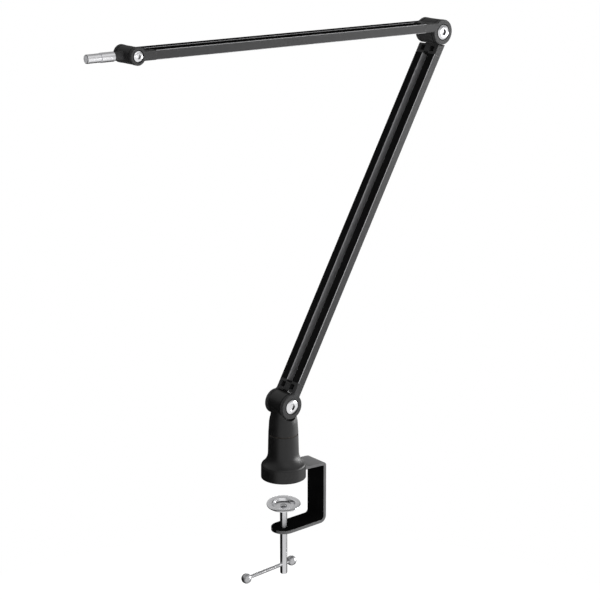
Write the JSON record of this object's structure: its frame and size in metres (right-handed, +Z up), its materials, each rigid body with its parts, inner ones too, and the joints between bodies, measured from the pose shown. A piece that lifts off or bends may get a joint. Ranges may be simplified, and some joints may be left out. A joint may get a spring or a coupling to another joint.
{
  "type": "microphone boom arm",
  "caption": "Two-section desk boom arm with a screw clamp, a swivelling base, flat channelled arms, friction elbow joints and a tilting head with a plain stud.",
  "frame": {"origin": "on the swivel axis, at the table plane under the base", "axes": "+Z up along the swivel axis, +X towards the upright strip of the clamp, Y along the arm pivots"},
  "size_m": [0.4645, 0.0488, 0.5984],
  "materials": {
    "black_casting": "satin black coating",
    "black_coated_steel": "satin black coating",
    "black_anodised_profile": "black anodised, satin",
    "black_fitting": "satin black coating",
    "bright_screw": "bright nickel plated",
    "zinc_plated_steel": "zinc plated",
    "satin_nickel": "satin nickel",
    "clamp_chrome": "chrome plated",
    "bearing_bronze": "plain bearing bronze",
    "friction_fibre": "pressed fibre"
  },
  "bodies": {
    "clamp": {"clamp_bracket": "black_coated_steel", "base_housing": "black_casting", "base_foot_plate": "black_coated_steel", "foot_screws": "zinc_plated_steel", "swivel_bush": "bearing_bronze"},
    "swivel": {"swivel_neck": "black_casting", "swivel_pin": "zinc_plated_steel", "swivel_spring_washer": "zinc_plated_steel", "swivel_nut": "zinc_plated_steel"},
    "lower_arm": {"lower_arm_profile": "black_anodised_profile", "base_pivot_fork": "black_fitting", "elbow_barrel_fitting": "black_fitting", "lower_fitting_screws": "zinc_plated_steel", "base_pivot_screw": "bright_screw", "base_pivot_spring_washer": "zinc_plated_steel", "base_pivot_nut": "zinc_plated_steel", "base_pivot_friction_washers": "friction_fibre"},
    "upper_arm": {"upper_arm_profile": "black_anodised_profile", "elbow_fork": "black_fitting", "tip_fork": "black_fitting", "upper_fitting_screws": "zinc_plated_steel", "elbow_screw": "bright_screw", "elbow_spring_washer": "zinc_plated_steel", "elbow_nut": "zinc_plated_steel", "elbow_friction_washers": "friction_fibre", "tip_screw": "bright_screw", "tip_spring_washer": "zinc_plated_steel", "tip_nut": "zinc_plated_steel", "tip_friction_washers": "friction_fibre"},
    "tip_head": {"tip_barrel": "black_fitting", "mic_stud": "satin_nickel"},
    "plate": {"pressure_plate": "clamp_chrome"},
    "spindle": {"clamp_spindle": "clamp_chrome"},
    "handle": {"handle_bar": "clamp_chrome", "handle_balls": "clamp_chrome"}
  },
  "joints": [
    {"name": "base_swivel", "type": "hinge", "parent": "clamp", "child": "swivel", "pos_m": [0, 0, 0.0497], "axis": [0, 0, 1], "continuous": true},
    {"name": "lower_arm_tilt", "type": "hinge", "parent": "swivel", "child": "lower_arm", "pos_m": [0, 0, 0.0834], "axis": [0, 1, 0], "range_deg": [-120, 60]},
    {"name": "elbow_fold", "type": "hinge", "parent": "lower_arm", "child": "upper_arm", "pos_m": [0.21426, 0, 0.46293], "axis": [0, -1, 0], "range_deg": [-205, 58]},
    {"name": "head_tilt", "type": "hinge", "parent": "upper_arm", "child": "tip_head", "pos_m": [-0.18758, 0, 0.47533], "axis": [0, 1, 0], "range_deg": [-120, 120]},
    {"name": "plate_lift", "type": "slide", "parent": "clamp", "child": "plate", "axis": [0, 0, 1], "range_m": [-0.02, 0.02875]},
    {"name": "spindle_turn", "type": "hinge", "parent": "plate", "child": "spindle", "pos_m": [0, 0, -0.09], "axis": [0, 0, 1], "range_deg": [-5760, 8280]},
    {"name": "handle_slide", "type": "slide", "parent": "spindle", "child": "handle", "axis": [0.9985, 0.0541, 0], "range_m": [-0.0017, 0.045]}
  ],
  "couplings": [
    {"joint": "spindle_turn", "follows": "plate_lift", "rad_per_m": 5026.5}
  ]
}
